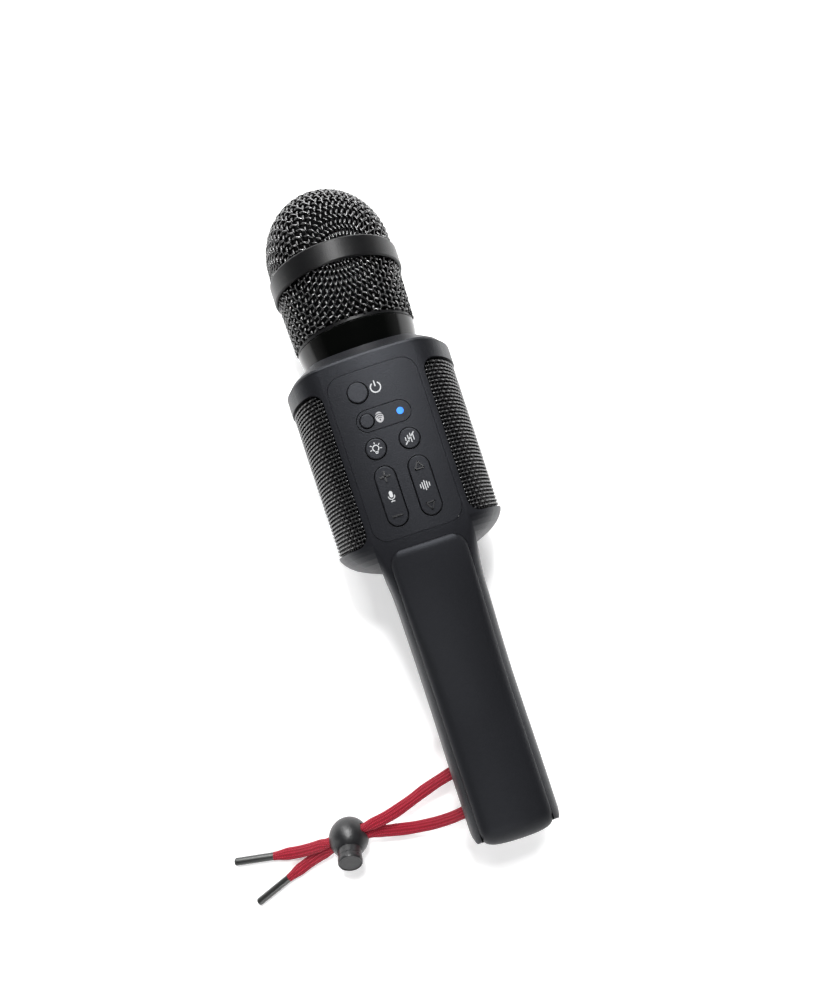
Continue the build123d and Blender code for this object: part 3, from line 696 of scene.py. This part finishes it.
# speaker grilles
drum = dict(halfWidth=32.2, sideRadius=44.0, cornerRadius=14.0, sideTurn=28.0, frontTurn=80.0, rise=1.0)
grille = dict(
    low=-7.7, high=48.2, inner=18.45, corner=4.5, recess=0.3, wire=0.34, thinWire=0.22, crimp=0.16,
    behind=0.62, pitch=1.4, steps=4, sides=6, clothDepth=1.7,
)


def sectionLine(halfWidth, sideRadius, cornerRadius, sideTurn, frontTurn, rise, inset, step=0.1):
    # right half of a rounded section, from the middle of the front round the side to the middle of the back:
    # a face arc, a corner arc and a side arc, a straight side of twice the rise, then the same back again
    a, b = math.radians(sideTurn), math.radians(frontTurn)
    sideX = halfWidth - sideRadius
    cornerX = sideX + (sideRadius - cornerRadius) * math.cos(a)
    cornerZ = rise + (sideRadius - cornerRadius) * math.sin(a)
    faceZ = cornerZ - cornerX * math.tan(b)
    faceRadius = cornerX / math.cos(b) + cornerRadius
    arcs = [
        (0.0, faceZ, faceRadius - inset, math.pi / 2, b),
        (cornerX, cornerZ, cornerRadius - inset, b, a),
        (sideX, rise, sideRadius - inset, a, 0.0),
    ]
    points, ways = [], []
    for x, z, radius, start, end in arcs:
        count = max(8, int(radius * (start - end) / step))
        turn = np.linspace(start, end, count, endpoint=False)
        points.append(np.column_stack([x + radius * np.cos(turn), z + radius * np.sin(turn)]))
        ways.append(np.column_stack([np.cos(turn), np.sin(turn)]))
    front, normal = np.concatenate(points), np.concatenate(ways)
    middle = np.array([[halfWidth - inset, 0.0]])
    line = np.concatenate([front, middle, front[::-1] * [1, -1]])
    normal = np.concatenate([normal, [[1.0, 0.0]], normal[::-1] * [1, -1]])
    return line, normal


def makeGrille(side, name, node):
    line, normal = sectionLine(**drum, inset=grille["recess"] + grille["wire"] + grille["crimp"])
    run = np.concatenate([[0], np.cumsum(np.linalg.norm(np.diff(line, axis=0), axis=1))])
    total = run[-1]
    half = len(line) // 2
    low, high, pitch, corner = grille["low"] + 0.3, grille["high"] - 0.3, grille["pitch"], grille["corner"]
    edge = np.interp(grille["inner"], line[:half, 0], run[:half])

    def at(s, y, lift):
        place = np.column_stack([np.interp(s, run, line[:, k]) for k in range(2)])
        way = unit(np.column_stack([np.interp(s, run, normal[:, k]) for k in range(2)]))
        place = place + way * lift[:, None]
        points = np.column_stack([side * place[:, 0], y, place[:, 1] + axisZ])
        return points, np.column_stack([side * way[:, 0], np.zeros(len(y)), way[:, 1]])

    lines, ups = [], []
    rows = int((high - low) / pitch)
    columns = int((total - 2 * edge) / pitch)
    rowStart = low + ((high - low) - (rows - 1) * pitch) / 2
    columnStart = edge + ((total - 2 * edge) - (columns - 1) * pitch) / 2
    for k in range(rows):
        y = rowStart + k * pitch
        depth = np.clip(min(y - low, high - y), 0, corner)
        x = grille["inner"] + corner - math.sqrt(corner ** 2 - (corner - depth) ** 2)
        start = np.interp(x, line[:half, 0], run[:half]) + 0.1
        s = np.linspace(start, total - start, int((total - 2 * start) / pitch * grille["steps"]) + 1)
        lift = grille["crimp"] * np.cos(math.pi * ((s - columnStart) / pitch + k))
        points, way = at(s, np.full(len(s), y), lift)
        lines.append(points)
        ups.append(way)
    for k in range(columns):
        s0 = columnStart + k * pitch
        x = np.interp(s0, run, line[:, 0])
        depth = np.clip(x - grille["inner"], 0, corner)
        trim = corner - math.sqrt(corner ** 2 - (corner - depth) ** 2)
        y = np.linspace(low + trim, high - trim, int((high - low - 2 * trim) / pitch * grille["steps"]) + 1)
        lift = np.full(len(y), -grille["behind"])
        points, way = at(np.full(len(y), s0), y, lift)
        lines.append(points)
        ups.append(way)
    radii = [grille["wire"]] * rows + [grille["thinWire"]] * columns
    piece = wirePiece(name, lines, ups, radii, grille["sides"], finish["grille"], "microphone")
    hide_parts(node)
    # black cloth behind the wires, a thin closed sheet
    cloth = []
    for depth in (grille["clothDepth"], grille["clothDepth"] + 0.4):
        inner, _ = sectionLine(**drum, inset=depth, step=1.0)
        inner = inner[inner[:, 0] > grille["inner"] - 0.4]
        y = np.linspace(grille["low"] + 0.1, grille["high"] - 0.1, 60)
        sheet = np.broadcast_arrays(side * inner[None, :, 0], y[:, None], inner[None, :, 1] + axisZ)
        cloth.append(np.stack(sheet, axis=-1))
    if cloth[0].shape != cloth[1].shape:
        count = min(cloth[0].shape[1], cloth[1].shape[1])
        cloth = [sheet[:, :count] for sheet in cloth]
    ring = np.concatenate([cloth[0], cloth[1][:, ::-1]], axis=1)
    rows, columns = ring.shape[:2]
    quads = gridQuads(rows, columns, True, flip=side > 0)
    loop = np.arange(columns)[::side]
    caps = np.stack([loop, (rows - 1) * columns + loop[::-1]])
    points = ring.reshape(-1, 3)
    buildPiece(name + "Cloth", points, [quads, caps], finish["foam"], "microphone", smooth=False)
    print(name, "triangles", 2 * len(piece.data.polygons))


makeGrille(-1, "grilleLeftWire", "speaker_grille_left")
makeGrille(1, "grilleRightWire", "speaker_grille_right")

# soft grip
handle = dict(
    half=17.0, front=16.6, corner=9.0, stripCorner=4.0, blendY=-7.0, neck=1.4, neckLength=24,
    flare=3.0, flareSpread=9, tailSwell=0.5, swellY=-40, swellLength=70, rise=13.9, riseLength=76,
    cornerLength=60, sideRadius=34.0, sideTurn=14.0, frontTurn=80.0,
)
pad = dict(
    half=13.85, top=-12.45, tail=-127.4, endRadius=10.0, low=-9.0, proud=1.0, depth=1.3, endDepth=1.8,
    topCorner=5.5, lowCorner=3.0, edge=2.6, drop=1.3, bulge=(0.9, 2.2), columns=97,
)


def easeOff(y, start, length):
    # from 1 at the start to 0 a length below it, along half a cosine wave
    return (1 + math.cos(math.pi * min(max((start - y) / length, 0.0), 1.0))) / 2


def handleFront(y, x):
    # height of the handle's front above the axis at the given distances from its middle
    blendY = handle["blendY"]
    narrow = easeOff(y, blendY, handle["neckLength"])
    swell = 1 - easeOff(y, handle["swellY"], handle["swellLength"])
    half = handle["half"] + handle["neck"] * narrow + handle["tailSwell"] * swell
    half += handle["flare"] * math.exp(-(((y - blendY) / handle["flareSpread"]) ** 2))
    front = handle["front"] + handle["rise"] * easeOff(y, blendY, handle["riseLength"])
    sharper = easeOff(y, blendY, handle["cornerLength"])
    corner = handle["corner"] + (handle["stripCorner"] - handle["corner"]) * sharper
    turns = handle["sideTurn"], handle["frontTurn"]
    line, _ = sectionLine(half, handle["sideRadius"], corner, *turns, 0.0, 0.0)
    right = line[:len(line) // 2]
    return front, right[0, 1] - np.interp(x, right[:, 0], right[:, 1])


def roundedHalf(distance, radius):
    # half width of the pad at a distance from an end whose corners have the given radius
    depth = radius - min(distance, radius)
    return pad["half"] - radius + math.sqrt(max(radius ** 2 - depth ** 2, 0))


def padRow(part, value, u, width):
    # one row of the surface under the pad: down the front, round the end, or along the back of the end
    x = width * u
    radius, turnY = pad["endRadius"] - pad["proud"], pad["tail"] + pad["endRadius"]
    bulge = pad["bulge"][0] * (x / pad["half"]) ** 2 + pad["bulge"][1] * (x / pad["half"]) ** 6
    if part == "front":
        front, sag = handleFront(value, np.abs(x))
        return np.column_stack([x, np.full(len(x), value), front - sag])
    if part == "turn":
        front, sag = handleFront(turnY, np.abs(x))
        y = turnY - radius * math.sin(value) + bulge * math.sin(value)
        return np.column_stack([x, y, front - radius + (radius - sag) * math.cos(value)])
    return np.column_stack([x, turnY - radius + bulge, np.full(len(x), value)])


def makePad():
    # its outer face is a pillow: height = proud - drop * (1 - sqrt(1 - (1 - d / edge)^2)) at d from its outline
    radius, turnY = pad["endRadius"] - pad["proud"], pad["tail"] + pad["endRadius"]
    endTop = handle["front"] - radius
    near = pad["edge"] * (1 - np.cos(np.linspace(0, math.pi / 2, 18)))
    flat = np.concatenate([pad["top"] - near, np.linspace(pad["top"] - pad["edge"], turnY, 150)[1:]])
    turns = np.linspace(0, math.pi / 2, 40)[1:]
    fall = np.concatenate([
        np.linspace(endTop, pad["low"] + pad["edge"], 14)[1:], pad["low"] + near[::-1][1:],
    ])
    start = pad["top"] - turnY
    run = np.concatenate([
        pad["top"] - flat, start + radius * turns, start + radius * math.pi / 2 + endTop - fall,
    ])
    steps = [("front", y) for y in flat] + [("turn", a) for a in turns] + [("end", z) for z in fall]
    extra = np.concatenate([np.zeros(len(flat)), np.sin(turns), np.ones(len(fall))])
    u = np.sin(np.linspace(-math.pi / 2, math.pi / 2, pad["columns"]))
    base, apart = [], []
    for distance, (part, value) in zip(run, steps):
        width = min(
            roundedHalf(distance, pad["topCorner"]), roundedHalf(run[-1] - distance, pad["lowCorner"]),
        )
        base.append(padRow(part, value, u, width))
        apart.append(np.minimum(width - np.abs(width * u), min(distance, run[-1] - distance)))
    base, apart = np.array(base), np.array(apart)
    normal = unit(np.cross(np.gradient(base, axis=1), -np.gradient(base, axis=0)))
    near = np.clip(1 - apart / pad["edge"], 0, 1)
    height = pad["proud"] - pad["drop"] * (1 - np.sqrt(1 - near ** 2))
    outer = base + normal * height[..., None]
    inner = base - normal * (pad["depth"] + pad["endDepth"] * extra)[:, None, None]
    points = np.concatenate([outer.reshape(-1, 3), inner.reshape(-1, 3)]) + [0, 0, axisZ]
    rows, columns = apart.shape
    size = rows * columns
    sheet = gridQuads(rows, columns)
    grid = np.arange(size).reshape(rows, columns)
    loop = np.concatenate([grid[0, :-1], grid[:-1, -1], grid[-1, :0:-1], grid[:0:-1, 0]])
    after = np.roll(loop, -1)
    walls = np.stack([loop, after, after + size, loop + size], axis=1)
    faceSets = [sheet, sheet[:, ::-1] + size, walls]
    piece = buildPiece("gripPad", points, faceSets, finish["soft_grip"], "microphone")
    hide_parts("grip_pad")
    print("grip pad triangles", 2 * len(piece.data.polygons))


makePad()


# printed and raised symbols
symbol = dict(printRise=0.03, raised=0.45, sink=0.12)


def arcPoints(radius, start, end, centre=(0.0, 0.0), count=40):
    # angles in degrees
    turn = np.radians(np.linspace(start, end, count))
    return np.column_stack([centre[0] + radius * np.cos(turn), centre[1] + radius * np.sin(turn)])


def strokeOutline(points, width):
    # the outline of a round-ended pen stroke, counter-clockwise
    points = np.asarray(points, float)
    along = unit(np.gradient(points, axis=0))
    side = np.column_stack([along[:, 1], -along[:, 0]]) * width / 2
    ends = []
    for place, way in ((points[-1], along[-1]), (points[0], -along[0])):
        turn = np.radians(np.linspace(-75, 75, 9))[:, None]
        cross = np.array([-way[1], way[0]])
        ends.append(place + width / 2 * (np.cos(turn) * way + np.sin(turn) * cross))
    return np.concatenate([points + side, ends[0], (points - side)[::-1], ends[1]])


def inkPiece(name, strokes, centre, low, high, material, body):
    # flat solids between two heights: each stroke is (points, width), a width of 0 means a filled outline
    points, faces, first = [], [], 0
    for outline, width in strokes:
        loop = strokeOutline(outline, width) if width else np.asarray(outline, float)
        count = len(loop)
        for z in (low, high):
            points.append(np.column_stack([loop + centre, np.full(count, z)]))
        bottom, top = first + np.arange(count), first + count + np.arange(count)
        faces += [top[None, :], bottom[None, ::-1]]
        faces.append(np.stack([bottom, np.roll(bottom, -1), np.roll(top, -1), top], axis=1))
        first += 2 * count
    return buildPiece(name, np.concatenate(points), faces, material, body, smooth=False)


def topOf(node, x, y):
    # height of a CAD piece under a point of the plan
    piece = nodes[node]
    back = piece.matrix_world.inverted()
    start, way = back @ Vector((x * mm, y * mm, 0.2)), back.to_3x3() @ Vector((0, 0, -1))
    hit, place, _, _ = piece.ray_cast(start, way)
    return (piece.matrix_world @ place).z / mm if hit else axisZ + 30.6


def bars(heights, pitch):
    xs = (np.arange(len(heights)) - (len(heights) - 1) / 2) * pitch
    return [([(x, -h / 2), (x, 0), (x, h / 2)], 0.32) for x, h in zip(xs, heights)]


def straight(a, b, width):
    return ([a, ((a[0] + b[0]) / 2, (a[1] + b[1]) / 2), b], width)


left, right = -6.05, 6.05
rays = [90, 38, 142, -12, 192]


def bulbStrokes():
    centre = np.array([0.0, 0.2])
    strokes = [(arcPoints(1.05, -52, 232, centre), 0.32)]
    strokes += [straight((-0.45, -1.05), (0.45, -1.05), 0.3), straight((-0.35, -1.55), (0.35, -1.55), 0.3)]
    for angle in np.radians(rays):
        way = np.array([math.cos(angle), math.sin(angle)])
        strokes.append(straight(centre + 1.55 * way, centre + 2.05 * way, 0.28))
    return strokes


def micStrokes():
    body = np.concatenate([arcPoints(0.62, 0, 180, (0, 1.15), 20), arcPoints(0.62, 180, 360, (0, 0.1), 20)])
    stand = [straight((0, -1.15), (0, -1.7), 0.3), straight((-0.6, -1.85), (0.6, -1.85), 0.3)]
    return [(body, 0), (arcPoints(1.1, -180, 0), 0.3), *stand]


def triangleStrokes(way):
    corners = [(-1.5, -way), (1.5, -way), (0.0, 1.5 * way)]
    return [straight(corners[k], corners[(k + 1) % 3], 0.42) for k in range(3)]


powerStrokes = [(arcPoints(1.75, 128, 412), 0.42), straight((0, 0.5), (0, 2.15), 0.42)]
muteStrokes = bars([1.0, 2.0, 3.0, 1.8], 0.92) + [straight((-1.7, -1.75), (1.8, 1.6), 0.36)]
level, upright = straight((-1.65, 0), (1.65, 0), 0.62), straight((0, -1.65), (0, 1.65), 0.62)
# name: (strokes, centre, node it sits on, body it rides on, raised instead of printed)
symbols = {
    "powerSign": (powerStrokes, (0.4, 43.2), "control_panel", "microphone", False),
    "bulbSign": (bulbStrokes(), (left, 23.0), "light_button", "light_button", False),
    "muteSign": (muteStrokes, (right, 23.0), "mute_button", "mute_button", False),
    "micSign": (micStrokes(), (left, 6.0), "mic_rocker", "mic_rocker", False),
    "waveSign": (bars([1.1, 2.2, 3.3, 2.2, 1.1], 0.78), (right, 6.0), "music_rocker", "music_rocker", False),
    "plusSign": ([level, upright], (left, 13.0), "mic_rocker", "mic_rocker", True),
    "minusSign": ([level], (left, -1.0), "mic_rocker", "mic_rocker", True),
    "upSign": (triangleStrokes(1), (right, 13.0), "music_rocker", "music_rocker", True),
    "downSign": (triangleStrokes(-1), (right, -1.0), "music_rocker", "music_rocker", True),
}


def makeSymbols():
    for name, (strokes, centre, node, body, isRaised) in symbols.items():
        top = topOf(node, *centre)
        rise = symbol["raised"] if isRaised else symbol["printRise"]
        material = finish["raised"] if isRaised else finish["print"]
        inkPiece(name, strokes, np.array(centre), top - symbol["sink"], top + rise, material, body)
    # a pale oval with wireless waves in the pill-shaped window
    centre = np.array([-1.5, 33.0])
    top = topOf("pill_window", *centre)
    low, high, higher = top - symbol["sink"], top + symbol["printRise"], top + 2 * symbol["printRise"]
    oval = arcPoints(1.0, 0, 351) * [1.4, 1.9]
    inkPiece("signalPatch", [(oval, 0)], centre, low, high, finish["pale"], "microphone")
    source = (0, -0.95)
    waves = [(arcPoints(radius, 48, 132, source, 16), 0.26) for radius in (0.85, 1.5, 2.15)]
    waves.append((arcPoints(0.3, 0, 345, source, 16), 0))
    inkPiece("signalWaves", waves, centre, top, higher, finish["button"], "microphone")
    print("symbols", len(symbols) + 2)


makeSymbols()


# cap of the cord lock's plunger
def makePlungerCap():
    press, way, _ = lockDirections()
    profile = [
        (0.02, 12.18), (4.15, 12.18), (4.3, 12.24), (4.4, 12.4), (4.6, 12.46), (4.8, 12.38),
        (4.96, 12.1), (4.98, 11.4), (4.93, 10.2), (4.86, 9.6), (4.6, 9.5), (0.02, 9.5),
    ]
    axes = (way, np.cross(press, way), press)
    place = lanyard["lockCentre"]
    piece = lathePiece("plungerCap", profile, place, axes, finish["lock"], "lock_plunger")
    print("plunger cap", len(piece.data.polygons))


makePlungerCap()
